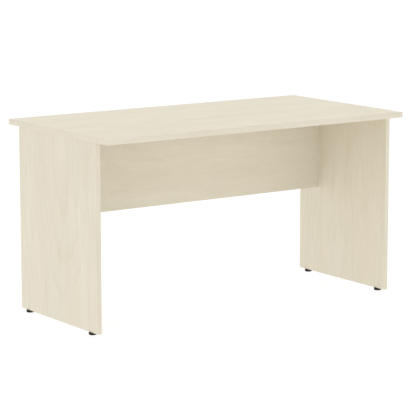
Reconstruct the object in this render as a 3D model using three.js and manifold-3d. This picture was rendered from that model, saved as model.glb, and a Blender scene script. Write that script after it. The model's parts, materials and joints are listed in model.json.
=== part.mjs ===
// A rectangular panel-end table: an edge-banded laminate top on two slab ends, tied together by a modesty
// panel that is set in from the back. Cam connectors and wooden dowels join the boards, and each slab end
// stands on two screw-adjustable feet.
//
// Millimetres, +Z up. The origin is on the floor under the middle of the table. +X runs along the length and
// the user sits on the -Y side.

import * as THREE from "three";
import { mergeVertices } from "three/addons/utils/BufferGeometryUtils.js";
import Module from "manifold-3d";

const wasm = await Module();
wasm.setup();

// ---------------------------------------------------------------- driving dimensions

const TABLE = { length: 1400, depth: 720, height: 750 };

const TOP = { thickness: 22, band: 2, arris: 1.5, cornerRadius: 2 };

const END = {
  thickness: 18,
  depth: 564,
  band: 1,
  arris: 0.5,
  footGap: 10, // floor to the underside of the slab end
  reveal: 1.5, // the top's end edge stands this far outside the slab end
};

const MODESTY = {
  thickness: 18,
  height: 349,
  band: 1,
  arris: 0.5,
  setback: 107, // rear edge of the slab end to the panel's rear face
};

const GLUE_LINE = 0.1; // between a board and its edge band
const SEAT_GAP = 0.1; // between two boards that bear on each other
const CLEARANCE = 0.3; // around each fitting in its bore
const OVERRUN = 1; // how far a cutter runs on past the face that it opens

// Cam connector, for a cam centre 24 mm in from the joint.
const CAM = {
  setback: 24,
  radius: 7.3,
  boreDepth: 14,
  sunk: 0.5, // below the board's face
  cavityRadius: 4.8,
  cavityHalfHeight: 3.7,
  neckSlot: 5,
  entryAngle: 150, // degrees round the cam, from the bolt to the hole where its head goes in
  recess: { radius: 1.9, depth: 3, blade: 1.4, span: 7 },
};

const BOLT = {
  headRadius: 3.3,
  headTip: 25.5, // all lengths are measured back from the joint
  headBase: 21,
  neckRadius: 2.2,
  neckEnd: 15,
  shankRadius: 3.4,
  channelRadius: 4,
  threadRadius: 2.7,
  threadLength: 11,
  chamfer: 0.8,
};

const CAP = { radius: 8.7, thickness: 0.9, rim: 0.4, pegRadius: 1.5, pegLength: 2.4 };

const DOWEL = {
  radius: 4,
  edgeDepth: 23,
  edgeRoom: 1, // left beyond the pin in the edge bore, for glue
  faceDepth: 12,
  chamfer: 0.8,
  flutes: 12,
  fluteDepth: 0.3,
};

// Levelling foot, an M6 stud moulded into a nylon base.
const FOOT = {
  inset: 50, // from the slab end's front and rear edges
  baseRadius: 15,
  soleRadius: 13.6,
  soleChamfer: 1.6,
  topRadius: 14.4,
  topChamfer: 0.6,
};

const STUD = { radius: 3, headRadius: 5.77, headHeight: 4, bottom: 2, top: 31, chamfer: 0.7 };

const INSERT = { radius: 5, barbDepth: 0.4, barbs: 4, length: 20, boreTop: 35 };

// Where the fittings sit along each joint. Insets are measured from the end of the joint.
const FITTING = {
  top: { front: { cam: 128, dowel: 64 }, rear: { cam: 64, dowel: 96 } },
  modesty: { cam: 64, dowel: 96 },
};

const SEGMENTS = { bore: 12, pin: 10, cam: 16, cap: 20, base: 32, arc: 3 };

// ---------------------------------------------------------------- derived places

const TOP_UNDERSIDE = TABLE.height - TOP.thickness;
const END_OUTER_X = TABLE.length / 2 - END.reveal;
const END_MIDDLE_X = END_OUTER_X - END.thickness / 2;
const END_INNER_X = END_OUTER_X - END.thickness;
const END_BOTTOM = END.footGap;
const END_TOP = TOP_UNDERSIDE - SEAT_GAP;
const MODESTY_REAR_Y = END.depth / 2 - MODESTY.setback;
const MODESTY_MIDDLE_Y = MODESTY_REAR_Y - MODESTY.thickness / 2;
const MODESTY_BOTTOM = TOP_UNDERSIDE - MODESTY.height;
const MODESTY_END_X = END_INNER_X - SEAT_GAP;
const FOOT_Y = END.depth / 2 - FOOT.inset;
const BASE_TOP = END_BOTTOM - CLEARANCE;

const SIDES = { left: -1, right: 1 };
const DEPTHS = { front: -1, rear: 1 };

// ---------------------------------------------------------------- materials

function finish(colour, roughness, metalness = 0) {
  return new THREE.MeshStandardMaterial({ color: colour, roughness, metalness });
}

const FINISH = {
  laminate: finish(0xe6dfcd, 0.5),
  edgeBand: finish(0xe4dcca, 0.45),
  capPlastic: finish(0xe2dac6, 0.5),
  nylon: finish(0x1c1d1e, 0.55),
  insertPlastic: finish(0xd9d6cf, 0.6),
  steel: finish(0xb9bcc0, 0.35, 1),
  zinc: finish(0xa9abae, 0.45, 1),
  beech: finish(0xcfa877, 0.75),
};

// ---------------------------------------------------------------- shape helpers

/** A closed geometry as a solid that can be cut and joined. */
function solidOf(geometry) {
  const bare = geometry.clone();
  bare.deleteAttribute("normal");
  bare.deleteAttribute("uv");
  const merged = mergeVertices(bare);
  return new wasm.Manifold(
    new wasm.Mesh({
      numProp: 3,
      vertProperties: new Float32Array(merged.attributes.position.array),
      triVerts: new Uint32Array(merged.index.array),
    }),
  );
}

/** A solid as a geometry with flat faces. */
function geometryOf(solid) {
  const mesh = solid.getMesh();
  const shared = new THREE.BufferGeometry();
  shared.setAttribute("position", new THREE.BufferAttribute(mesh.vertProperties, 3));
  shared.setIndex(new THREE.BufferAttribute(mesh.triVerts, 1));
  const flat = shared.toNonIndexed();
  flat.computeVertexNormals();
  return flat;
}

/** The geometry with each of the cutters taken out of it. */
function cut(geometry, cutters) {
  let solid = solidOf(geometry);
  for (const cutter of cutters) {
    solid = solid.subtract(solidOf(cutter));
  }
  return geometryOf(solid);
}

/** A box between two opposite corners. */
function box([x0, y0, z0], [x1, y1, z1]) {
  const geometry = new THREE.BoxGeometry(x1 - x0, y1 - y0, z1 - z0);
  return geometry.translate((x0 + x1) / 2, (y0 + y1) / 2, (z0 + z1) / 2);
}

/** A cylinder on the Z axis between two heights. */
function rod(radius, z0, z1, segments) {
  const geometry = new THREE.CylinderGeometry(radius, radius, z1 - z0, segments);
  return geometry.rotateX(Math.PI / 2).translate(0, 0, (z0 + z1) / 2);
}

/** A profile of [radius, height] points turned round the Z axis, from the bottom up. */
function turned(profile, segments) {
  const points = profile.map(([radius, height]) => new THREE.Vector2(radius, height));
  return new THREE.LatheGeometry(points, segments).rotateX(Math.PI / 2);
}

/** A group at `origin` with +Z along `along` and +X along `facing`. */
function frameAt(origin, along, facing) {
  const z = new THREE.Vector3(...along);
  const x = new THREE.Vector3(...facing);
  const y = new THREE.Vector3().crossVectors(z, x);
  const frame = new THREE.Group();
  frame.position.set(...origin);
  frame.quaternion.setFromRotationMatrix(new THREE.Matrix4().makeBasis(x, y, z));
  frame.updateMatrixWorld();
  return frame;
}

/** A geometry from a frame's own space, in the table's space. */
function placed(geometry, frame) {
  return geometry.clone().applyMatrix4(frame.matrixWorld);
}

function addMesh(parent, name, geometry, material) {
  const mesh = new THREE.Mesh(geometry, material);
  mesh.name = name;
  parent.add(mesh);
}

// ---------------------------------------------------------------- edge bands

/** A strip along +Z with its glued face at x = 0 and both outer arrises rounded. */
function bandStrip(length, width, thickness, arris) {
  const half = width / 2;
  const section = new THREE.Shape();
  section.moveTo(0, -half);
  section.lineTo(thickness - arris, -half);
  section.absarc(thickness - arris, -half + arris, arris, -Math.PI / 2, 0);
  section.absarc(thickness - arris, half - arris, arris, 0, Math.PI / 2);
  section.lineTo(0, half);
  const options = { depth: length, bevelEnabled: false, curveSegments: SEGMENTS.arc };
  return new THREE.ExtrudeGeometry(section, options);
}

/** A strip whose two ends are rounded in plan as well, for the corners of the top. */
function roundedEndStrip(length, width, thickness, arris, radius) {
  const plan = new THREE.Shape();
  plan.moveTo(0, 0);
  plan.lineTo(0, -length);
  plan.lineTo(thickness - radius, -length);
  plan.absarc(thickness - radius, -length + radius, radius, -Math.PI / 2, 0);
  plan.absarc(thickness - radius, -radius, radius, 0, Math.PI / 2);
  const options = { depth: width, bevelEnabled: false, curveSegments: SEGMENTS.arc };
  const outline = new THREE.ExtrudeGeometry(plan, options);
  outline.translate(0, 0, -width / 2).rotateX(-Math.PI / 2);
  const strip = solidOf(bandStrip(length, width, thickness, arris));
  return geometryOf(strip.intersect(solidOf(outline)));
}

// ---------------------------------------------------------------- fittings

// A cam connector's frame sits on the joint plane. +Z runs along the bolt, into the board that takes its
// thread, and +X points out of the board face that the cam is pressed into.

function camGeometry(faceX) {
  const bottom = faceX - CAM.boreDepth + CLEARANCE;
  const top = faceX - CAM.sunk;
  const { recess } = CAM;
  const cavity = rod(CAM.cavityRadius, -CAM.cavityHalfHeight, CAM.cavityHalfHeight, SEGMENTS.cam);
  const entry = rod(BOLT.headRadius + CLEARANCE, 0, CAM.radius + OVERRUN, SEGMENTS.pin);
  entry.rotateY(Math.PI / 2).rotateZ(THREE.MathUtils.degToRad(CAM.entryAngle));
  const recessFloor = top - recess.depth;
  const recessMouth = top + OVERRUN;
  const pegHole = rod(recess.radius, recessFloor, recessMouth, SEGMENTS.pin);
  const [long, short] = [recess.span / 2, recess.blade / 2];
  const blades = [
    box([-long, -short, recessFloor], [long, short, recessMouth]),
    box([-short, -long, recessFloor], [short, long, recessMouth]),
  ];
  const blank = rod(CAM.radius, bottom, top, SEGMENTS.cam);
  const cam = cut(blank, [cavity, neckSlotGeometry(), entry, pegHole, ...blades]);
  // The bolt comes in along the cam's own +X. Turn that to the frame's +Z, and the cam's axis to +X.
  cam.applyMatrix4(new THREE.Matrix4().makeBasis(AXIS.z, AXIS.y.clone().negate(), AXIS.x));
  return cam.translate(0, 0, -CAM.setback);
}

/** The slot round the cam that the bolt's neck runs along, from just past the bolt to the entry hole. */
function neckSlotGeometry() {
  const innerRadius = CAM.cavityRadius - OVERRUN;
  const outerRadius = CAM.radius + OVERRUN;
  const start = -Math.asin((CAM.neckSlot / 2) / innerRadius);
  const end = THREE.MathUtils.degToRad(CAM.entryAngle);
  const sector = new THREE.Shape();
  sector.absarc(0, 0, outerRadius, start, end, false);
  sector.absarc(0, 0, innerRadius, end, start, true);
  const options = { depth: CAM.neckSlot, bevelEnabled: false, curveSegments: SEGMENTS.pin };
  return new THREE.ExtrudeGeometry(sector, options).translate(0, 0, -CAM.neckSlot / 2);
}

function boltGeometry() {
  const profile = [
    [0, -BOLT.headTip],
    [BOLT.headRadius - BOLT.chamfer, -BOLT.headTip],
    [BOLT.headRadius, -BOLT.headTip + BOLT.chamfer],
    [BOLT.headRadius, -BOLT.headBase - BOLT.chamfer],
    [BOLT.neckRadius, -BOLT.headBase],
    [BOLT.neckRadius, -BOLT.neckEnd - BOLT.chamfer],
    [BOLT.shankRadius, -BOLT.neckEnd],
    [BOLT.shankRadius, -SEAT_GAP],
    [BOLT.threadRadius, -SEAT_GAP],
    [BOLT.threadRadius, BOLT.threadLength - BOLT.chamfer],
    [BOLT.threadRadius - BOLT.chamfer, BOLT.threadLength],
    [0, BOLT.threadLength],
  ];
  return turned(profile, SEGMENTS.pin);
}

function capGeometry(faceX) {
  const under = faceX + GLUE_LINE;
  const profile = [
    [0, under - CAP.pegLength],
    [CAP.pegRadius, under - CAP.pegLength],
    [CAP.pegRadius, under],
    [CAP.radius, under],
    [CAP.radius, under + CAP.thickness - CAP.rim],
    [CAP.radius - CAP.rim, under + CAP.thickness],
    [0, under + CAP.thickness],
  ];
  return turned(profile, SEGMENTS.cap).rotateY(Math.PI / 2).translate(0, 0, -CAM.setback);
}

/** What a connector needs cut from the board that holds its cam. */
function camBoardCutters(frame, faceX) {
  const bore = rod(CAM.radius + CLEARANCE, faceX - CAM.boreDepth, faceX + OVERRUN, SEGMENTS.cam);
  bore.rotateY(Math.PI / 2).translate(0, 0, -CAM.setback);
  const channel = rod(BOLT.channelRadius, -CAM.setback, OVERRUN, SEGMENTS.bore);
  return [placed(bore, frame), placed(channel, frame)];
}

/** The pilot hole in the board that takes the bolt's thread. */
function threadCutter(frame) {
  const depth = BOLT.threadLength + CLEARANCE;
  return placed(rod(BOLT.threadRadius + CLEARANCE, -OVERRUN, depth, SEGMENTS.pin), frame);
}

function addConnector(parent, frame, name, faceX) {
  addMesh(frame, `cam_${name}`, camGeometry(faceX), FINISH.zinc);
  addMesh(frame, `cam_bolt_${name}`, boltGeometry(), FINISH.steel);
  addMesh(frame, `cam_cap_${name}`, capGeometry(faceX), FINISH.capPlastic);
  parent.add(frame);
}

/** A fluted dowel pin. Its frame's +Z points into the board that is drilled in its face. */
function dowelGeometry() {
  const outline = new THREE.Shape();
  const steps = 2 * DOWEL.flutes;
  const crest = DOWEL.radius - DOWEL.chamfer;
  for (let i = 0; i < steps; i += 1) {
    const radius = i % 2 ? crest - DOWEL.fluteDepth : crest;
    const angle = (2 * Math.PI * i) / steps;
    const point = [radius * Math.cos(angle), radius * Math.sin(angle)];
    if (i === 0) {
      outline.moveTo(...point);
    } else {
      outline.lineTo(...point);
    }
  }
  const options = {
    depth: DOWEL.edgeDepth + DOWEL.faceDepth - 2 * DOWEL.chamfer,
    bevelThickness: DOWEL.chamfer,
    bevelSize: DOWEL.chamfer,
    bevelSegments: 1,
  };
  const pin = new THREE.ExtrudeGeometry(outline, options);
  return pin.translate(0, 0, -DOWEL.edgeDepth + DOWEL.chamfer);
}

function dowelCutter(frame) {
  const edgeEnd = -DOWEL.edgeDepth - DOWEL.edgeRoom;
  const hole = rod(DOWEL.radius + CLEARANCE, edgeEnd, DOWEL.faceDepth + CLEARANCE, SEGMENTS.bore);
  return placed(hole, frame);
}

function addDowel(parent, frame, name) {
  addMesh(frame, `dowel_${name}`, dowelGeometry(), FINISH.beech);
  parent.add(frame);
}

// ---------------------------------------------------------------- feet

// A foot's frame is on the floor under the middle of the slab end, with +Z up the stud.

/** The nylon base, with a pocket for the stud's hexagon head. */
function footBaseGeometry() {
  const pocketRadius = STUD.headRadius + CLEARANCE;
  const pocketFloor = STUD.bottom - CLEARANCE;
  const pocketRoof = STUD.bottom + STUD.headHeight + CLEARANCE;
  const neckRadius = STUD.radius + CLEARANCE;
  const profile = [
    [0, 0],
    [FOOT.soleRadius, 0],
    [FOOT.baseRadius, FOOT.soleChamfer],
    [FOOT.baseRadius, BASE_TOP - FOOT.topChamfer],
    [FOOT.topRadius, BASE_TOP],
    [neckRadius, BASE_TOP],
    [neckRadius, pocketRoof],
    [pocketRadius, pocketRoof],
    [pocketRadius, pocketFloor],
    [0, pocketFloor],
  ];
  return turned(profile, SEGMENTS.base);
}

function studGeometry() {
  const headTop = STUD.bottom + STUD.headHeight;
  const hexagon = solidOf(rod(STUD.headRadius, STUD.bottom, headTop, 6));
  const root = headTop - OVERRUN;
  const profile = [
    [0, root],
    [STUD.radius, root],
    [STUD.radius, STUD.top - STUD.chamfer],
    [STUD.radius - STUD.chamfer, STUD.top],
    [0, STUD.top],
  ];
  return geometryOf(hexagon.add(solidOf(turned(profile, SEGMENTS.bore))));
}

/** A barbed sleeve that the stud screws into, flush with the slab end's underside. */
function insertGeometry() {
  const barbPitch = INSERT.length / INSERT.barbs;
  const profile = [[STUD.radius + CLEARANCE, END_BOTTOM]];
  for (let i = 0; i < INSERT.barbs; i += 1) {
    const z = END_BOTTOM + i * barbPitch;
    profile.push([INSERT.radius, z], [INSERT.radius - INSERT.barbDepth, z + barbPitch]);
  }
  profile.push([STUD.radius + CLEARANCE, END_BOTTOM + INSERT.length]);
  profile.push(profile[0]);
  return turned(profile, SEGMENTS.bore);
}

function insertCutter(frame) {
  const hole = rod(INSERT.radius + CLEARANCE, END_BOTTOM - OVERRUN, INSERT.boreTop, SEGMENTS.bore);
  return placed(hole, frame);
}

function addFoot(parent, frame, name) {
  addMesh(frame, `foot_base_${name}`, footBaseGeometry(), FINISH.nylon);
  addMesh(frame, `foot_stud_${name}`, studGeometry(), FINISH.steel);
  addMesh(frame, `foot_insert_${name}`, insertGeometry(), FINISH.insertPlastic);
  parent.add(frame);
}

// ---------------------------------------------------------------- where each fitting goes

const UP = [0, 0, 1];
const REARWARD = [0, 1, 0];
const AXIS = {
  x: new THREE.Vector3(1, 0, 0),
  y: new THREE.Vector3(0, 1, 0),
  z: new THREE.Vector3(0, 0, 1),
};

/** A frame on the slab end's top edge, `inset` from its front or rear edge, facing the knee space. */
function topJointFrame(side, depth, inset) {
  return frameAt([side * END_MIDDLE_X, depth * (END.depth / 2 - inset), TOP_UNDERSIDE], UP, [-side, 0, 0]);
}

/** A frame on the modesty panel's end, at a height, facing the back of the table. */
function modestyJointFrame(side, height) {
  return frameAt([side * END_INNER_X, MODESTY_MIDDLE_Y, height], [side, 0, 0], REARWARD);
}

function modestyHeights(inset) {
  return { upper: TOP_UNDERSIDE - inset, lower: MODESTY_BOTTOM + inset };
}

const topCams = [];
const topDowels = [];
const modestyCams = [];
const modestyDowels = [];
const feet = [];

for (const [sideName, side] of Object.entries(SIDES)) {
  for (const [depthName, depth] of Object.entries(DEPTHS)) {
    const name = `top_${sideName}_${depthName}`;
    const inset = FITTING.top[depthName];
    topCams.push({ name, side, frame: topJointFrame(side, depth, inset.cam) });
    topDowels.push({ name, side, frame: topJointFrame(side, depth, inset.dowel) });
    const footFrame = frameAt([side * END_MIDDLE_X, depth * FOOT_Y, 0], UP, [1, 0, 0]);
    feet.push({ name: `${depthName}_${sideName}`, side, frame: footFrame });
  }
  for (const [levelName, height] of Object.entries(modestyHeights(FITTING.modesty.cam))) {
    const name = `modesty_${sideName}_${levelName}`;
    modestyCams.push({ name, side, frame: modestyJointFrame(side, height) });
  }
  for (const [levelName, height] of Object.entries(modestyHeights(FITTING.modesty.dowel))) {
    const name = `modesty_${sideName}_${levelName}`;
    modestyDowels.push({ name, side, frame: modestyJointFrame(side, height) });
  }
}

const onSide = (sites, side) => sites.filter((site) => site.side === side);

// ---------------------------------------------------------------- boards

function addTabletop(parent) {
  const inset = TOP.band + GLUE_LINE;
  const halfLength = TABLE.length / 2 - inset;
  const halfDepth = TABLE.depth / 2 - inset;
  const board = box([-halfLength, -halfDepth, TOP_UNDERSIDE], [halfLength, halfDepth, TABLE.height]);
  const cutters = [
    ...topCams.map(({ frame }) => threadCutter(frame)),
    ...topDowels.map(({ frame }) => dowelCutter(frame)),
  ];
  addMesh(parent, "tabletop", cut(board, cutters), FINISH.laminate);
}

/** The long bands run the full length and cover the ends of the short ones. */
function addTopBands(parent) {
  const middle = TABLE.height - TOP.thickness / 2;
  const longBand = roundedEndStrip(TABLE.length, TOP.thickness, TOP.band, TOP.arris, TOP.cornerRadius);
  const shortLength = TABLE.depth - 2 * (TOP.band + GLUE_LINE);
  const shortBand = bandStrip(shortLength, TOP.thickness, TOP.band, TOP.arris);
  for (const [name, depth] of Object.entries(DEPTHS)) {
    const start = [-depth * (TABLE.length / 2), depth * (TABLE.depth / 2 - TOP.band), middle];
    const frame = frameAt(start, [depth, 0, 0], [0, depth, 0]);
    addMesh(frame, `top_band_${name}`, longBand, FINISH.edgeBand);
    parent.add(frame);
  }
  for (const [name, side] of Object.entries(SIDES)) {
    const start = [side * (TABLE.length / 2 - TOP.band), side * (shortLength / 2), middle];
    const frame = frameAt(start, [0, -side, 0], [side, 0, 0]);
    addMesh(frame, `top_band_${name}`, shortBand, FINISH.edgeBand);
    parent.add(frame);
  }
}

function addSlabEnd(parent, name, side) {
  const inset = END.band + GLUE_LINE;
  const [xLow, xHigh] = [side * END_INNER_X, side * END_OUTER_X].sort((a, b) => a - b);
  const halfDepth = END.depth / 2 - inset;
  const board = box([xLow, -halfDepth, END_BOTTOM + inset], [xHigh, halfDepth, END_TOP]);
  const camFace = END.thickness / 2;
  const cutters = [
    ...onSide(topCams, side).flatMap(({ frame }) => camBoardCutters(frame, camFace)),
    ...onSide(topDowels, side).map(({ frame }) => dowelCutter(frame)),
    ...onSide(modestyCams, side).map(({ frame }) => threadCutter(frame)),
    ...onSide(modestyDowels, side).map(({ frame }) => dowelCutter(frame)),
    ...onSide(feet, side).map(({ frame }) => insertCutter(frame)),
  ];
  addMesh(parent, `${name}_end_panel`, cut(board, cutters), FINISH.laminate);
}

/** Bands on the front, rear and bottom edges. The upright ones cover the ends of the bottom one. */
function addSlabEndBands(parent, name, side) {
  const middleX = side * END_MIDDLE_X;
  const uprightLength = END_TOP - END_BOTTOM;
  const upright = bandStrip(uprightLength, END.thickness, END.band, END.arris);
  for (const [depthName, depth] of Object.entries(DEPTHS)) {
    const start = [middleX, depth * (END.depth / 2 - END.band), END_BOTTOM];
    const frame = frameAt(start, UP, [0, depth, 0]);
    addMesh(frame, `${name}_end_band_${depthName}`, upright, FINISH.edgeBand);
    parent.add(frame);
  }
  const bottomLength = END.depth - 2 * (END.band + GLUE_LINE);
  const frame = frameAt([middleX, -bottomLength / 2, END_BOTTOM + END.band], REARWARD, [0, 0, -1]);
  const strip = placed(bandStrip(bottomLength, END.thickness, END.band, END.arris), frame);
  const holes = onSide(feet, side).map((foot) => insertCutter(foot.frame));
  addMesh(parent, `${name}_end_band_bottom`, cut(strip, holes), FINISH.edgeBand);
}

function addModestyPanel(parent) {
  const bottom = MODESTY_BOTTOM + MODESTY.band + GLUE_LINE;
  const front = MODESTY_REAR_Y - MODESTY.thickness;
  const board = box([-MODESTY_END_X, front, bottom], [MODESTY_END_X, MODESTY_REAR_Y, END_TOP]);
  const camFace = MODESTY.thickness / 2;
  const cutters = [
    ...modestyCams.flatMap(({ frame }) => camBoardCutters(frame, camFace)),
    ...modestyDowels.map(({ frame }) => dowelCutter(frame)),
  ];
  addMesh(parent, "modesty_panel", cut(board, cutters), FINISH.laminate);
  const strip = bandStrip(2 * MODESTY_END_X, MODESTY.thickness, MODESTY.band, MODESTY.arris);
  const start = [-MODESTY_END_X, MODESTY_MIDDLE_Y, MODESTY_BOTTOM + MODESTY.band];
  const frame = frameAt(start, [1, 0, 0], [0, 0, -1]);
  addMesh(frame, "modesty_band_bottom", strip, FINISH.edgeBand);
  parent.add(frame);
}

// ---------------------------------------------------------------- the table

const table = new THREE.Group();

addTabletop(table);
addTopBands(table);
for (const [name, side] of Object.entries(SIDES)) {
  addSlabEnd(table, name, side);
  addSlabEndBands(table, name, side);
}
addModestyPanel(table);
for (const { frame, name } of topCams) {
  addConnector(table, frame, name, END.thickness / 2);
}
for (const { frame, name } of modestyCams) {
  addConnector(table, frame, name, MODESTY.thickness / 2);
}
for (const { frame, name } of [...topDowels, ...modestyDowels]) {
  addDowel(table, frame, name);
}
for (const { frame, name } of feet) {
  addFoot(table, frame, name);
}

export default table;
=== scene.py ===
import json
import math

import bmesh
import bpy
from mathutils import Euler, Matrix, Vector


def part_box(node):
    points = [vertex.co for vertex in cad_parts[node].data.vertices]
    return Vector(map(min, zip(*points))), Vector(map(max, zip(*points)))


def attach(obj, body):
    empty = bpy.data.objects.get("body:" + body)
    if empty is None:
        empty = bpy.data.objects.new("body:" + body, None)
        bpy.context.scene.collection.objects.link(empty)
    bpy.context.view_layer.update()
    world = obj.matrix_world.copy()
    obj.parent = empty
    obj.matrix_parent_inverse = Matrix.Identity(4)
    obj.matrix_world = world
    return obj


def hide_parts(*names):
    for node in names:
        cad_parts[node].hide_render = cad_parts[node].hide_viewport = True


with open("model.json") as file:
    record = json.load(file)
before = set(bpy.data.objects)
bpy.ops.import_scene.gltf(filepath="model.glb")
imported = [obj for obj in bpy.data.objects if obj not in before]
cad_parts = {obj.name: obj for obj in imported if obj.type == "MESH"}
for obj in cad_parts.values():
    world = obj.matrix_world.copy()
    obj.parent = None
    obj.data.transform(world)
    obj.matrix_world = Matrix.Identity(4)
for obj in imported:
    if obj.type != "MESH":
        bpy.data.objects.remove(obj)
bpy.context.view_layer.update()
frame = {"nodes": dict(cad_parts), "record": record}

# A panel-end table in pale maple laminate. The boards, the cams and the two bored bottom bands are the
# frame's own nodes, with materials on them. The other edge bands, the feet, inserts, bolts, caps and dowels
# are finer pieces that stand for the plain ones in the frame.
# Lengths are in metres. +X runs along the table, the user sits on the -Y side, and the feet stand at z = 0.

MM = 0.001
NODES = frame["nodes"]
BEHAVIOUR = frame["record"]["behaviour"]
BODY_OF = {node: body for body, nodes in BEHAVIOUR["bodies"].items() for node in nodes}
FOOT_TRAVEL = max(joint["range_m"][1] for joint in BEHAVIOUR["joints"] if joint["type"] == "slide")

# The turn is from +Y towards +X and the tilt is downwards, both in degrees. The lens and the sensor are in
# millimetres.
CAMERA = {"place": (-4.5335, -6.4698, 1.754), "turn": 35.012, "tilt": 9.882, "lens": 173.88}
SENSOR_WIDTH = 36.0
CLIP_END = 200.0

SKY = {"zenith": 0.85, "horizon": 1.02, "band": 0.35}
FLOOR = {"size": 120.0, "colour": (0.12, 0.12, 0.12), "mottle": 0.985, "roughness": 0.9, "glow": 0.92}

# Each softbox faces AIM from its own distance. The one below lies 1 mm above the floor.
AIM = (0.0, 0.0, 0.4)
FLOOR_BELOW_AIM = AIM[2] + FOOT_TRAVEL
SOFTBOXES = {
    "overhead": {"from": (0.0, 0.0, 1.0), "distance": 7.0, "size": 4.0, "power": 168.0},
    "side": {"from": (-0.85, -0.50, 0.10), "distance": 8.0, "size": 4.0, "power": 46.0},
    "under": {"from": (0.0, 0.0, -1.0), "distance": FLOOR_BELOW_AIM - MM, "size": 18.0, "power": 300.0},
}

DECOR_LIGHT = (0.699, 0.653, 0.540)
DECOR_DARK = (0.597, 0.544, 0.429)
DECOR_ROSY = (0.691, 0.609, 0.492)
DECOR_FLECK = (0.430, 0.340, 0.220)
CAP_SHADE = 0.95

# How far each layer of the maple's figure takes the colour from light to dark.
FIGURE_DEPTH = {"cloud": 0.70, "mottle": 0.45, "streak": 0.40, "fibre": 1.1}
LATE_WOOD = {"ring_spacing": 9 * MM, "sharpness": 5.0, "depth": 0.28}
MEAN_SHADE = 0.36
MOST_ROSY = 0.35
BAND_SEEDS = {"X": 3.1, "Y": 5.7, "Z": 7.9}
BAND_GLOSS = 0.04

# The growth rings' axis is shifted across the grain: by up to `side` one way, and by `rise`, give or take
# `swing`, the other way. A board's seed sets how far.
PITH = {"side": 0.07, "rise": 0.10, "swing": 0.03}

BAND_ARRIS = {"top": 1.45 * MM, "end": 0.48 * MM, "modesty": 0.48 * MM}
ARRIS_STEPS = 6
SAME_WAY = 0.9  # two directions are the same when their cosine is above this

# Sizes of the turned and threaded fittings. `steps` is how many rings of points a thread has in one pitch.
BASE = {
    "sole_middle": 3.0 * MM,
    "sole_round": 1.7 * MM,
    "lip_round": 0.7 * MM,
    "groove_outer": 11.5 * MM,
    "groove_inner": 7.0 * MM,
    "groove_depth": 0.4 * MM,
    "neck": 3.3 * MM,
    "neck_chamfer": 0.2 * MM,
    "pocket": 6.07 * MM,
    "pocket_roof": 6.3 * MM,
    "pocket_floor": 1.7 * MM,
}
STUD = {
    "head_height": 4.0 * MM,
    "half_flat": 5.0 * MM,
    "corner": 5.7 * MM,
    "crown": 0.5 * MM,
    "tip": 0.7 * MM,
}
INSERT = {
    "bore": 3.3 * MM,
    "mouth": 0.3 * MM,
    "barbs": 5,
    "barb_depth": 0.6 * MM,
    "barb_chamfer": 0.15 * MM,
    "barb_land": 0.5 * MM,
}
BOLT = {
    "head": 3.3 * MM,
    "head_end": 4.5 * MM,
    "neck": 2.2 * MM,
    "neck_end": 10.5 * MM,
    "shank": 3.4 * MM,
    "shank_end": 25.4 * MM,
    "last_ring": 0.5 * MM,
    "chamfer": 0.8 * MM,
    "tip": 1.6 * MM,
}
CAP = {
    "reach": 8.7 * MM,
    "thickness": 0.9 * MM,
    "rim_chamfer": 0.1 * MM,
    "rim_round": 0.45 * MM,
    "rim_rise": 0.30 * MM,
    "peg": 1.5 * MM,
    "peg_chamfer": 0.4 * MM,
}
CAP_DOME = {6.0 * MM: 0.05 * MM, 3.0 * MM: 0.01 * MM}  # how far below the top it is at each radius
DOWEL = {
    "radius": 4.0 * MM,
    "chamfer": 1.2 * MM,
    "flutes": 18,
    "flute_depth": 0.3 * MM,
    "ring_spacing": 8 * MM,
}

STUD_THREAD = {"major": 2.98 * MM, "minor": 2.40 * MM, "pitch": 1.0 * MM, "steps": 8}
BOLT_THREAD = {"major": 2.68 * MM, "minor": 1.90 * MM, "pitch": 1.8 * MM, "steps": 10}
FLANK_SLOPE = 1.5
FLANK_START = 0.25
HAIR = 0.01 * MM  # a thread's first ring is this far past the end of what it grows from


# ---------------------------------------------------------------- node materials

WAVE_RADIANS = 20  # a wave texture's phase grows by this many radians in one metre, at a scale of 1


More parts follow.
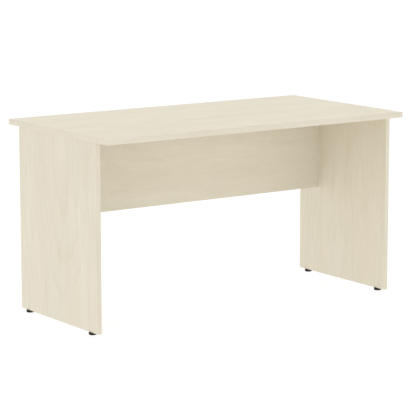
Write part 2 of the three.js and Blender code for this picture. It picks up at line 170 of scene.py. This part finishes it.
class Graph:
    """A material and short calls that add the nodes it is made of."""

    def __init__(self, name):
        self.material = bpy.data.materials.new(name)
        self.material.use_nodes = True
        self.tree = self.material.node_tree
        self.shader = self.tree.nodes["Principled BSDF"]

    def link(self, source, target):
        self.tree.links.new(source, target)

    def feed(self, socket, value):
        if isinstance(value, bpy.types.NodeSocket):
            self.link(value, socket)
        else:
            socket.default_value = value

    def place(self):
        return self.tree.nodes.new("ShaderNodeTexCoord").outputs["Object"]

    def mapping(self, vector, shift=(0, 0, 0), turn=(0, 0, 0), scale=(1, 1, 1)):
        node = self.tree.nodes.new("ShaderNodeMapping")
        self.link(vector, node.inputs["Vector"])
        node.inputs["Location"].default_value = shift
        node.inputs["Rotation"].default_value = turn
        node.inputs["Scale"].default_value = scale
        return node.outputs["Vector"]

    def noise(self, vector, scale=1.0, detail=2.0, roughness=0.5, colour=False):
        node = self.tree.nodes.new("ShaderNodeTexNoise")
        self.link(vector, node.inputs["Vector"])
        node.inputs["Scale"].default_value = scale
        node.inputs["Detail"].default_value = detail
        node.inputs["Roughness"].default_value = roughness
        return node.outputs["Color" if colour else "Fac"]

    def rings(self, vector, spacing):
        """Growth rings round the X axis, `spacing` metres apart. Each one rises slowly and ends sharply."""
        node = self.tree.nodes.new("ShaderNodeTexWave")
        node.wave_type = "RINGS"
        node.rings_direction = "X"
        node.wave_profile = "SAW"
        self.link(vector, node.inputs["Vector"])
        node.inputs["Scale"].default_value = 2 * math.pi / (WAVE_RADIANS * spacing)
        node.inputs["Distortion"].default_value = 0.0
        return node.outputs["Fac"]

    def wander(self, vector, scale, reach):
        """The vector moved across the grain, smoothly and by up to about `reach` metres."""
        drift = self.noise(self.mapping(vector, scale=scale), detail=1.0, colour=True)
        drift = self.vector_math("SUBTRACT", drift, (0.5, 0.5, 0.5))
        drift = self.vector_math("MULTIPLY", drift, (0.0, 2 * reach, 2 * reach))
        return self.vector_math("ADD", vector, drift)

    def cells(self, vector, scale):
        node = self.tree.nodes.new("ShaderNodeTexVoronoi")
        self.link(vector, node.inputs["Vector"])
        node.inputs["Scale"].default_value = scale
        return node.outputs["Distance"]

    def math(self, operation, first, second, clamp=False):
        node = self.tree.nodes.new("ShaderNodeMath")
        node.operation = operation
        node.use_clamp = clamp
        self.feed(node.inputs[0], first)
        self.feed(node.inputs[1], second)
        return node.outputs["Value"]

    def vector_math(self, operation, first, second):
        node = self.tree.nodes.new("ShaderNodeVectorMath")
        node.operation = operation
        self.feed(node.inputs[0], first)
        self.feed(node.inputs[1], second)
        return node.outputs["Vector"]

    def about_zero(self, value, depth):
        """A 0..1 value made to swing about zero, by half of `depth` each way."""
        return self.math("MULTIPLY", self.math("SUBTRACT", value, 0.5), depth)

    def spread(self, value, low, high, to_low=0.0, to_high=1.0):
        """The value with low..high carried to to_low..to_high, and held at those ends."""
        node = self.tree.nodes.new("ShaderNodeMapRange")
        node.clamp = True
        self.link(value, node.inputs["Value"])
        node.inputs["From Min"].default_value = low
        node.inputs["From Max"].default_value = high
        node.inputs["To Min"].default_value = to_low
        node.inputs["To Max"].default_value = to_high
        return node.outputs["Result"]

    def blend(self, factor, first, second):
        node = self.tree.nodes.new("ShaderNodeMix")
        node.data_type = "RGBA"
        self.feed(node.inputs["Factor"], factor)
        colours = [socket for socket in node.inputs if socket.type == "RGBA"]
        for socket, value in zip(colours, (first, second)):
            self.feed(socket, value if isinstance(value, bpy.types.NodeSocket) else (*value, 1.0))
        return next(socket for socket in node.outputs if socket.type == "RGBA")

    def bump(self, height, distance, strength, below=None):
        node = self.tree.nodes.new("ShaderNodeBump")
        self.link(height, node.inputs["Height"])
        node.inputs["Distance"].default_value = distance
        node.inputs["Strength"].default_value = strength
        if below is not None:
            self.link(below, node.inputs["Normal"])
        return node.outputs["Normal"]

    def finish(self, colour, roughness, normal=None, **constants):
        """Joins the shader up. `constants` are sockets that are the same all over the surface."""
        self.feed(self.shader.inputs["Base Color"], colour)
        self.feed(self.shader.inputs["Roughness"], roughness)
        if normal is not None:
            self.link(normal, self.shader.inputs["Normal"])
        for name, value in constants.items():
            self.shader.inputs[name.replace("_", " ")].default_value = value
        return self.material


TURN_GRAIN_TO_X = {"X": (0, 0, 0), "Y": (0, 0, -math.pi / 2), "Z": (0, math.pi / 2, 0)}


def maple_decor(name, grain, seed, tilt=1.2, gloss=0.0):
    """The printed maple of a board or band, with its grain along one axis of the table."""
    graph = Graph(name)
    along_x = graph.mapping(graph.place(), turn=TURN_GRAIN_TO_X[grain])
    origin = graph.mapping(along_x, shift=(0.61 * seed, 0.37 * seed, 0.23 * seed))
    wood = graph.wander(origin, scale=(2.2, 5.0, 5.0), reach=15 * MM)

    cloud = graph.noise(graph.mapping(wood, scale=(2.0, 10.0, 10.0)), detail=2.0)
    mottle = graph.noise(graph.mapping(wood, scale=(8.0, 30.0, 30.0)), detail=2.0)
    streak = graph.noise(graph.mapping(wood, scale=(4.5, 90.0, 90.0)), detail=1.0)
    fibre = graph.noise(graph.mapping(wood, scale=(11.0, 650.0, 650.0)), detail=3.0, roughness=0.65)
    hue = graph.noise(graph.mapping(wood, scale=(1.3, 6.0, 6.0), shift=(3.0, 1.0, 2.0)), detail=1.0)
    waving = graph.wander(along_x, scale=(1.7, 4.0, 4.0), reach=25 * MM)
    waving = graph.wander(waving, scale=(9.0, 38.0, 38.0), reach=2.5 * MM)
    heart = graph.mapping(
        waving,
        shift=(0.0, PITH["side"] * math.sin(seed), PITH["rise"] + PITH["swing"] * math.cos(2 * seed)),
        turn=(0.0, math.radians(tilt), math.radians(0.3 * tilt)),
    )
    growth = graph.rings(heart, LATE_WOOD["ring_spacing"])
    late_wood = graph.math("POWER", growth, LATE_WOOD["sharpness"])

    shade = graph.about_zero(cloud, FIGURE_DEPTH["cloud"])
    shade = graph.math("ADD", shade, graph.about_zero(mottle, FIGURE_DEPTH["mottle"]))
    shade = graph.math("ADD", shade, graph.about_zero(streak, FIGURE_DEPTH["streak"]))
    shade = graph.math("ADD", shade, graph.about_zero(fibre, FIGURE_DEPTH["fibre"]))
    shade = graph.math("ADD", shade, graph.math("MULTIPLY", late_wood, LATE_WOOD["depth"]))
    shade = graph.math("ADD", shade, MEAN_SHADE, clamp=True)
    colour = graph.blend(shade, DECOR_LIGHT, DECOR_DARK)
    colour = graph.blend(graph.spread(hue, 0.45, 0.75, 0.0, MOST_ROSY), colour, DECOR_ROSY)

    fleck = graph.noise(graph.mapping(wood, scale=(240.0, 1900.0, 1900.0)), detail=1.0)
    fleck = graph.spread(fleck, 0.62, 0.72, 0.0, 0.40)
    mineral = graph.noise(graph.mapping(wood, scale=(7.0, 130.0, 130.0)), detail=1.0)
    mineral = graph.spread(mineral, 0.74, 0.84, 0.0, 0.20)
    colour = graph.blend(graph.math("MAXIMUM", fleck, mineral), colour, DECOR_FLECK)

    pebble = graph.noise(origin, scale=900.0, detail=2.0)
    roughness = graph.math("ADD", graph.math("MULTIPLY", fibre, 0.10), 0.44 - gloss)
    roughness = graph.math("ADD", roughness, graph.math("MULTIPLY", cloud, 0.06))
    normal = graph.bump(fibre, 0.02 * MM, 0.35)
    normal = graph.bump(pebble, 0.03 * MM, 0.35, below=normal)
    return graph.finish(colour, roughness, normal, Specular_IOR_Level=0.25)


def cap_plastic():
    """Moulded caps in the decor's colour, with a fine spark-eroded texture."""
    graph = Graph("cap_plastic")
    place = graph.place()
    cloud = graph.noise(place, scale=140.0, detail=2.0)
    grit = graph.noise(place, scale=3800.0, detail=1.0)
    colour = graph.blend(cloud, DECOR_LIGHT, tuple(CAP_SHADE * c for c in DECOR_LIGHT))
    roughness = graph.spread(grit, 0.3, 0.7, 0.42, 0.52)
    return graph.finish(colour, roughness, graph.bump(grit, 0.02 * MM, 0.4), Specular_IOR_Level=0.4)


def black_nylon():
    """The feet: moulded black nylon, scuffed grey along the sole."""
    graph = Graph("black_nylon")
    place = graph.place()
    height = graph.tree.nodes.new("ShaderNodeSeparateXYZ")
    graph.link(place, height.inputs[0])
    grit = graph.noise(place, scale=2600.0, detail=2.0)
    scratch = graph.noise(graph.mapping(place, scale=(300.0, 300.0, 2400.0)), detail=3.0, roughness=0.7)
    near_sole = graph.spread(height.outputs["Z"], 0.2 * MM, 2.2 * MM, 1.0, 0.0)
    scuff = graph.math("MULTIPLY", near_sole, graph.spread(scratch, 0.50, 0.66), clamp=True)
    colour = graph.blend(graph.noise(place, scale=500.0), (0.006, 0.006, 0.0065), (0.012, 0.012, 0.0125))
    colour = graph.blend(graph.math("MULTIPLY", scuff, 0.5), colour, (0.06, 0.06, 0.06))
    roughness = graph.spread(grit, 0.3, 0.7, 0.42, 0.56)
    roughness = graph.math("ADD", roughness, graph.math("MULTIPLY", scuff, 0.2))
    return graph.finish(colour, roughness, graph.bump(grit, 0.04 * MM, 0.5), Specular_IOR_Level=0.25)


def natural_plastic():
    """The inserts: unpigmented moulded plastic."""
    graph = Graph("natural_plastic")
    place = graph.place()
    cloud = graph.noise(place, scale=260.0, detail=3.0)
    grit = graph.noise(place, scale=3000.0)
    colour = graph.blend(cloud, (0.72, 0.70, 0.65), (0.62, 0.59, 0.53))
    roughness = graph.spread(grit, 0.3, 0.7, 0.40, 0.55)
    return graph.finish(colour, roughness, graph.bump(grit, 0.02 * MM, 0.4))


def plated_steel():
    """Studs and bolts: bright zinc plate, clouded and finely scratched."""
    graph = Graph("plated_steel")
    place = graph.place()
    cloud = graph.noise(place, scale=420.0, detail=3.0)
    scratch = graph.noise(graph.mapping(place, scale=(900.0, 900.0, 5200.0)), detail=2.0)
    colour = graph.blend(cloud, (0.62, 0.63, 0.65), (0.48, 0.49, 0.52))
    roughness = graph.spread(graph.math("ADD", cloud, scratch), 0.7, 1.3, 0.24, 0.42)
    return graph.finish(colour, roughness, graph.bump(scratch, 0.01 * MM, 0.5), Metallic=1.0)


def cast_zinc():
    """Cams: die-cast zinc with the dull, faintly pitted skin of the mould."""
    graph = Graph("cast_zinc")
    place = graph.place()
    cloud = graph.noise(place, scale=350.0, detail=4.0)
    pits = graph.spread(graph.cells(place, 2200.0), 0.0, 0.35)
    colour = graph.blend(cloud, (0.47, 0.48, 0.49), (0.34, 0.35, 0.36))
    roughness = graph.spread(cloud, 0.3, 0.7, 0.42, 0.60)
    return graph.finish(colour, roughness, graph.bump(pits, 0.03 * MM, 0.5), Metallic=1.0)


def bare_beech(grain):
    """Dowels: bare beech, with the short dark flecks of its rays."""
    graph = Graph(f"bare_beech_{grain.lower()}")
    along_x = graph.mapping(graph.place(), turn=TURN_GRAIN_TO_X[grain])
    fibre = graph.noise(graph.mapping(along_x, scale=(90.0, 2600.0, 2600.0)), detail=3.0)
    ray = graph.spread(graph.noise(graph.mapping(along_x, scale=(420.0, 2400.0, 2400.0))), 0.62, 0.72)
    colour = graph.blend(fibre, (0.62, 0.41, 0.22), (0.47, 0.28, 0.13))
    colour = graph.blend(graph.math("MULTIPLY", ray, 0.5), colour, (0.27, 0.14, 0.06))
    roughness = graph.spread(fibre, 0.3, 0.7, 0.62, 0.78)
    return graph.finish(colour, roughness, graph.bump(fibre, 0.05 * MM, 0.6))


# ---------------------------------------------------------------- mesh helpers

SMOOTH_BELOW = math.radians(32)


def add_piece(mesh, material, node, place=Matrix.Identity(4)):
    """Puts a finished mesh in the scene under its own name, on the node's body, standing for that node."""
    mesh.transform(place)
    mesh.polygons.foreach_set("use_smooth", [True] * len(mesh.polygons))
    mesh.set_sharp_from_angle(angle=SMOOTH_BELOW)
    mesh.materials.append(material)
    piece = bpy.data.objects.new(mesh.name, mesh)
    bpy.context.scene.collection.objects.link(piece)
    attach(piece, BODY_OF[node])
    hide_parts(node)


def mesh_from(name, vertices, faces):
    mesh = bpy.data.meshes.new(name)
    mesh.from_pydata(vertices, [], faces)
    mesh.validate()
    mesh.update()
    return mesh


def turned(name, outline, segments):
    """An outline of (radius, height) turned round Z. It starts and ends on the axis, or closes on itself."""
    closed = outline[0] == outline[-1]
    points = outline[:-1] if closed else outline
    vertices, rings = [], []
    for radius, height in points:
        if radius == 0:
            rings.append([len(vertices)] * segments)
            vertices.append((0.0, 0.0, height))
            continue
        rings.append(list(range(len(vertices), len(vertices) + segments)))
        for i in range(segments):
            angle = 2 * math.pi * i / segments
            vertices.append((radius * math.cos(angle), radius * math.sin(angle), height))
    faces = []
    pairs = list(zip(rings, rings[1:] + rings[:1])) if closed else list(zip(rings, rings[1:]))
    for low, high in pairs:
        for i in range(segments):
            j = (i + 1) % segments
            corners = [low[i], low[j], high[j], high[i]]
            faces.append(list(dict.fromkeys(corners)))
    return mesh_from(name, vertices, faces)


def arc(centre, radius, start, end, steps):
    """Points on an arc in an outline, with its angles in degrees from the outward direction."""
    angles = [math.radians(start + (end - start) * i / steps) for i in range(steps + 1)]
    return [(centre[0] + radius * math.cos(a), centre[1] + radius * math.sin(a)) for a in angles]


def shaped_rod(name, heights, radius_at, segments):
    """A rod on Z whose radius is radius_at(height, angle), with a flat at each end."""
    vertices, faces = [], []
    for height in heights:
        for i in range(segments):
            angle = 2 * math.pi * i / segments
            radius = radius_at(height, angle)
            vertices.append((radius * math.cos(angle), radius * math.sin(angle), height))
    for row in range(len(heights) - 1):
        for i in range(segments):
            j = (i + 1) % segments
            low, high = row * segments, (row + 1) * segments
            faces.append([low + i, low + j, high + j, high + i])
    last = (len(heights) - 1) * segments
    faces.append(list(range(segments))[::-1])
    faces.append(list(range(last, last + segments)))
    return mesh_from(name, vertices, faces)


def steps_between(low, high, step):
    count = max(1, round((high - low) / step))
    return [low + (high - low) * i / count for i in range(count + 1)]


def thread_radius(thread, height, angle):
    """A right-handed thread with narrow flat crests and roots."""
    phase = (height / thread["pitch"] - angle / (2 * math.pi)) % 1.0
    flank = min(1.0, max(0.0, (1 - abs(2 * phase - 1)) * FLANK_SLOPE - FLANK_START))
    return thread["minor"] + (thread["major"] - thread["minor"]) * flank


def centre_of(node):
    low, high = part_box(node)
    return (low + high) / 2


def upright_at(node):
    """A frame at z = 0 under the node's middle, with +Z up."""
    centre = centre_of(node)
    return Matrix.Translation((centre.x, centre.y, 0))


def rounded_strip(node, hidden, radius):
    """The node's own box, rounded along every edge that lies between two sides in the open."""
    low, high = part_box(node)
    bm = bmesh.new()
    bmesh.ops.create_cube(bm, size=1.0)
    bmesh.ops.scale(bm, vec=high - low, verts=bm.verts)
    bmesh.ops.translate(bm, vec=(low + high) / 2, verts=bm.verts)
    bmesh.ops.recalc_face_normals(bm, faces=bm.faces)
    covered = [face for face in bm.faces if any(face.normal.dot(Vector(side)) > SAME_WAY for side in hidden)]
    open_edges = [edge for edge in bm.edges if not any(face in covered for face in edge.link_faces)]
    bmesh.ops.bevel(
        bm,
        geom=open_edges,
        offset=radius,
        segments=ARRIS_STEPS,
        profile=0.5,
        affect="EDGES",
        clamp_overlap=True,
    )
    mesh = bpy.data.meshes.new(f"{node}_rounded")
    bm.to_mesh(mesh)
    bm.free()
    return mesh


# ---------------------------------------------------------------- edge bands

GLUED_SIDE = {
    "front": (0, 1, 0),
    "rear": (0, -1, 0),
    "left": (1, 0, 0),
    "right": (-1, 0, 0),
    "bottom": (0, 0, 1),
}


def hidden_sides(node):
    """The side of a band that is glued on, and any end of it that meets another board or band."""
    side = node.split("_")[-1]
    if node.startswith("modesty_"):
        ends = [(1, 0, 0), (-1, 0, 0)]
    elif "_end_" in node:
        ends = [(0, 0, 1)]
    elif side in ("left", "right"):
        ends = [(0, 1, 0), (0, -1, 0)]
    else:
        ends = []
    return [GLUED_SIDE[side], *ends]


def band_decors():
    """A decor for each axis that a band's grain can run along."""
    return {
        grain: maple_decor(f"maple_band_{grain.lower()}", grain, seed, gloss=BAND_GLOSS)
        for grain, seed in BAND_SEEDS.items()
    }


def make_bands(decor):
    """Rounds and paints the bands. The two that are bored for the feet keep their CAD shape."""
    for node in NODES:
        if "_band_" not in node:
            continue
        low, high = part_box(node)
        size = high - low
        grain = "XYZ"[max(range(3), key=lambda axis: size[axis])]
        if "_end_band_bottom" in node:
            repaint(node, decor[grain])
            continue
        board = "end" if "_end_" in node else node.split("_")[0]
        add_piece(rounded_strip(node, hidden_sides(node), BAND_ARRIS[board]), decor[grain], node)


# ---------------------------------------------------------------- feet

def foot_base(node, material):
    """The nylon base, with a round-edged sole, a groove in its top and a pocket for the stud's head."""
    low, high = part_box(node)
    reach, top = (high.x - low.x) / 2, high.z
    sole, lip, groove = BASE["sole_round"], BASE["lip_round"], BASE["groove_depth"]
    outline = [(0.0, 0.0), (BASE["sole_middle"], 0.0)]
    outline += arc((reach - sole, sole), sole, start=-90, end=0, steps=8)
    outline += arc((reach - lip, top - lip), lip, start=0, end=90, steps=6)
    outline += [
        (BASE["groove_outer"], top),
        (BASE["groove_outer"] - groove, top - groove),
        (BASE["groove_inner"] + groove, top - groove),
        (BASE["groove_inner"], top),
        (BASE["neck"] + BASE["neck_chamfer"], top),
        (BASE["neck"], top - BASE["neck_chamfer"]),
        (BASE["neck"], BASE["pocket_roof"]),
        (BASE["pocket"], BASE["pocket_roof"]),
        (BASE["pocket"], BASE["pocket_floor"]),
        (0.0, BASE["pocket_floor"]),
    ]
    add_piece(turned(f"{node}_moulded", outline, segments=96), material, node, upright_at(node))


def foot_stud(node, material):
    """The hexagon head and M6 thread."""
    low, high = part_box(node)
    head_top, crown = low.z + STUD["head_height"], STUD["crown"]

    def radius_at(height, angle):
        if height <= head_top:
            from_flat = (angle + math.pi / 6) % (math.pi / 3) - math.pi / 6
            chamfer = max(0.0, low.z + crown - height, height - head_top + crown)
            return min(STUD["half_flat"] / math.cos(from_flat), STUD["corner"] - chamfer)
        taper = max(0.0, height - (high.z - STUD["tip"]))
        return min(thread_radius(STUD_THREAD, height, angle), STUD_THREAD["major"] - taper)

    heights = [low.z, low.z + crown / 2, low.z + crown]
    heights += [head_top - crown, head_top - crown / 2, head_top]
    heights += steps_between(head_top + HAIR, high.z, STUD_THREAD["pitch"] / STUD_THREAD["steps"])
    mesh = shaped_rod(f"{node}_threaded", heights, radius_at, segments=36)
    add_piece(mesh, material, node, upright_at(node))


def foot_insert(node, material):
    """The barbed sleeve that the stud screws into."""
    low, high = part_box(node)
    reach, bore, mouth = (high.x - low.x) / 2, INSERT["bore"], INSERT["mouth"]
    chamfer, land = INSERT["barb_chamfer"], INSERT["barb_land"]
    pitch = (high.z - low.z) / INSERT["barbs"]
    outline = [(bore + mouth, low.z), (reach - chamfer, low.z)]
    for i in range(INSERT["barbs"]):
        foot = low.z + i * pitch
        outline += [(reach, foot + chamfer), (reach, foot + land)]
        outline.append((reach - INSERT["barb_depth"], foot + pitch))
    outline += [(bore, high.z), (bore, low.z + mouth)]
    outline.append(outline[0])
    add_piece(turned(f"{node}_barbed", outline, segments=64), material, node, upright_at(node))


# ---------------------------------------------------------------- connectors

def along(node, toward):
    """A frame at the node's end away from `toward`, with +Z pointing that way, and the node's length."""
    low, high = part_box(node)
    direction = Vector(toward)
    half_length = abs(((high - low) / 2).dot(direction))
    start = centre_of(node) - direction * half_length
    turn = direction.to_track_quat("Z", "Y").to_matrix().to_4x4()
    return Matrix.Translation(start) @ turn, 2 * half_length


def thread_direction(node):
    """The way a connector's bolt or dowel points, into the board that is bored in its face."""
    if "_top_" in node:
        return (0, 0, 1)
    return (-1, 0, 0) if "_left_" in node else (1, 0, 0)


def cap_direction(node):
    """The way a cap faces: into the knee space, or out of the modesty panel's back."""
    if "_modesty_" in node:
        return (0, 1, 0)
    return (1, 0, 0) if "_left_" in node else (-1, 0, 0)


def cam_bolt(node, material):
    """Head, neck, shank and coarse wood thread."""
    place, length = along(node, thread_direction(node))
    chamfer, shank_end = BOLT["chamfer"], BOLT["shank_end"]
    outline = [
        (0.0, BOLT["head"] - chamfer),
        (chamfer, BOLT["head"]),
        (BOLT["head_end"] - chamfer, BOLT["head"]),
        (BOLT["head_end"], BOLT["neck"]),
        (BOLT["neck_end"] - chamfer, BOLT["neck"]),
        (BOLT["neck_end"], BOLT["shank"]),
        (shank_end - BOLT["last_ring"], BOLT["shank"]),
        (shank_end, BOLT["shank"]),
    ]

    def radius_at(height, angle):
        if height <= shank_end:
            for (h0, r0), (h1, r1) in zip(outline, outline[1:]):
                if height <= h1:
                    return r0 + (r1 - r0) * (height - h0) / (h1 - h0)
        taper = max(0.0, height - (length - BOLT["tip"]))
        return min(thread_radius(BOLT_THREAD, height, angle), BOLT_THREAD["major"] - taper)

    heights = [height for height, _ in outline]
    heights += steps_between(shank_end + HAIR, length, BOLT_THREAD["pitch"] / BOLT_THREAD["steps"])
    add_piece(shaped_rod(f"{node}_threaded", heights, radius_at, segments=32), material, node, place)


def cam_cap(node, material):
    """A thin cap with a rolled rim, faintly domed, on the peg that holds it in the cam."""
    place, length = along(node, cap_direction(node))
    rim, reach, peg = length - CAP["thickness"], CAP["reach"], CAP["peg"]
    roll = CAP["rim_round"]
    outline = [
        (0.0, 0.0),
        (peg - CAP["peg_chamfer"], 0.0),
        (peg, CAP["peg_chamfer"]),
        (peg, rim),
        (reach - CAP["rim_chamfer"], rim),
        (reach, rim + CAP["rim_chamfer"]),
    ]
    outline += arc((reach - roll, rim + CAP["rim_rise"]), roll, start=0, end=80, steps=5)
    outline += [(radius, length - drop) for radius, drop in CAP_DOME.items()]
    outline.append((0.0, length))
    add_piece(turned(f"{node}_domed", outline, segments=72), material, node, place)


def dowel(node, material):
    """A pin with pressed flutes and chamfered ends."""
    place, length = along(node, thread_direction(node))
    chamfer, flutes = DOWEL["chamfer"], DOWEL["flutes"]

    def radius_at(height, angle):
        from_end = min(height, length - height)
        full = DOWEL["radius"] - max(0.0, chamfer - from_end)
        return full - DOWEL["flute_depth"] * (0.5 - 0.5 * math.cos(flutes * angle)) ** 2

    heights = steps_between(0.0, chamfer, chamfer / 3)
    heights += steps_between(chamfer, length - chamfer, DOWEL["ring_spacing"])[1:]
    heights += steps_between(length - chamfer, length, chamfer / 3)[1:]
    add_piece(shaped_rod(f"{node}_fluted", heights, radius_at, segments=8 * flutes), material, node, place)


# ---------------------------------------------------------------- the table

def repaint(node, material):
    mesh = NODES[node].data
    mesh.materials.clear()
    mesh.materials.append(material)


def paint_boards():
    repaint("tabletop", maple_decor("maple_tabletop", "X", seed=1.0))
    repaint("left_end_panel", maple_decor("maple_left_end", "Z", seed=2.3))
    repaint("right_end_panel", maple_decor("maple_right_end", "Z", seed=4.1))
    repaint("modesty_panel", maple_decor("maple_modesty", "X", seed=6.7, tilt=1.8))


def make_fittings():
    """Makes each fitting by the start of its node's name. The cams keep their CAD shape."""
    nylon, steel, plastic = black_nylon(), plated_steel(), natural_plastic()
    decor_plastic, zinc = cap_plastic(), cast_zinc()
    beech = {grain: bare_beech(grain) for grain in "XZ"}
    makers = {
        "foot_base_": (foot_base, nylon),
        "foot_stud_": (foot_stud, steel),
        "foot_insert_": (foot_insert, plastic),
        "cam_bolt_": (cam_bolt, steel),
        "cam_cap_": (cam_cap, decor_plastic),
        "cam_top_": (repaint, zinc),
        "cam_modesty_": (repaint, zinc),
        "dowel_top_": (dowel, beech["Z"]),
        "dowel_modesty_": (dowel, beech["X"]),
    }
    for node in NODES:
        for prefix, (make, material) in makers.items():
            if node.startswith(prefix):
                make(node, material)


# ---------------------------------------------------------------- camera, floor and light

def add_camera():
    data = bpy.data.cameras.new("camera")
    data.sensor_width = SENSOR_WIDTH
    data.lens = CAMERA["lens"]
    data.clip_end = CLIP_END
    camera = bpy.data.objects.new("camera", data)
    camera.location = CAMERA["place"]
    camera.rotation_euler = Euler((math.radians(90 - CAMERA["tilt"]), 0, -math.radians(CAMERA["turn"])))
    bpy.context.scene.collection.objects.link(camera)
    bpy.context.scene.camera = camera


def add_floor():
    """A white floor, as low as the feet can be screwed out, so that no pose puts a foot through it."""
    bm = bmesh.new()
    bmesh.ops.create_grid(bm, x_segments=1, y_segments=1, size=FLOOR["size"] / 2)
    mesh = bpy.data.meshes.new("floor")
    bm.to_mesh(mesh)
    bm.free()
    floor = bpy.data.objects.new("floor", mesh)
    floor.location.z = -FOOT_TRAVEL
    bpy.context.scene.collection.objects.link(floor)
    graph = Graph("floor")
    mottle = graph.noise(graph.place(), scale=3.0)
    colour = graph.blend(mottle, FLOOR["colour"], tuple(FLOOR["mottle"] * c for c in FLOOR["colour"]))
    glow = {"Emission_Color": (1, 1, 1, 1), "Emission_Strength": FLOOR["glow"]}
    mesh.materials.append(graph.finish(colour, FLOOR["roughness"], Specular_IOR_Level=0.0, **glow))


def add_sky():
    """A white surround, a little brighter near the horizon so that it runs into the floor."""
    world = bpy.data.worlds.new("studio")
    world.use_nodes = True
    nodes, links = world.node_tree.nodes, world.node_tree.links
    direction = nodes.new("ShaderNodeTexCoord").outputs["Generated"]
    split = nodes.new("ShaderNodeSeparateXYZ")
    fade = nodes.new("ShaderNodeMapRange")
    links.new(direction, split.inputs[0])
    links.new(split.outputs["Z"], fade.inputs["Value"])
    fade.inputs["From Min"].default_value = 0.0
    fade.inputs["From Max"].default_value = SKY["band"]
    fade.inputs["To Min"].default_value = SKY["horizon"]
    fade.inputs["To Max"].default_value = SKY["zenith"]
    nodes["Background"].inputs["Color"].default_value = (1, 1, 1, 1)
    links.new(fade.outputs["Result"], nodes["Background"].inputs["Strength"])
    bpy.context.scene.world = world


def add_softboxes():
    for name, box in SOFTBOXES.items():
        data = bpy.data.lights.new(f"softbox_{name}", "AREA")
        data.shape = "SQUARE"
        data.size = box["size"]
        data.energy = box["power"]
        light = bpy.data.objects.new(data.name, data)
        outward = Vector(box["from"]).normalized()
        light.location = Vector(AIM) + box["distance"] * outward
        light.rotation_euler = outward.to_track_quat("Z", "Y").to_euler()
        light.visible_camera = False
        bpy.context.scene.collection.objects.link(light)


add_camera()
add_floor()
add_sky()
add_softboxes()
bpy.context.scene.view_settings.view_transform = "Standard"

paint_boards()
make_bands(band_decors())
make_fittings()
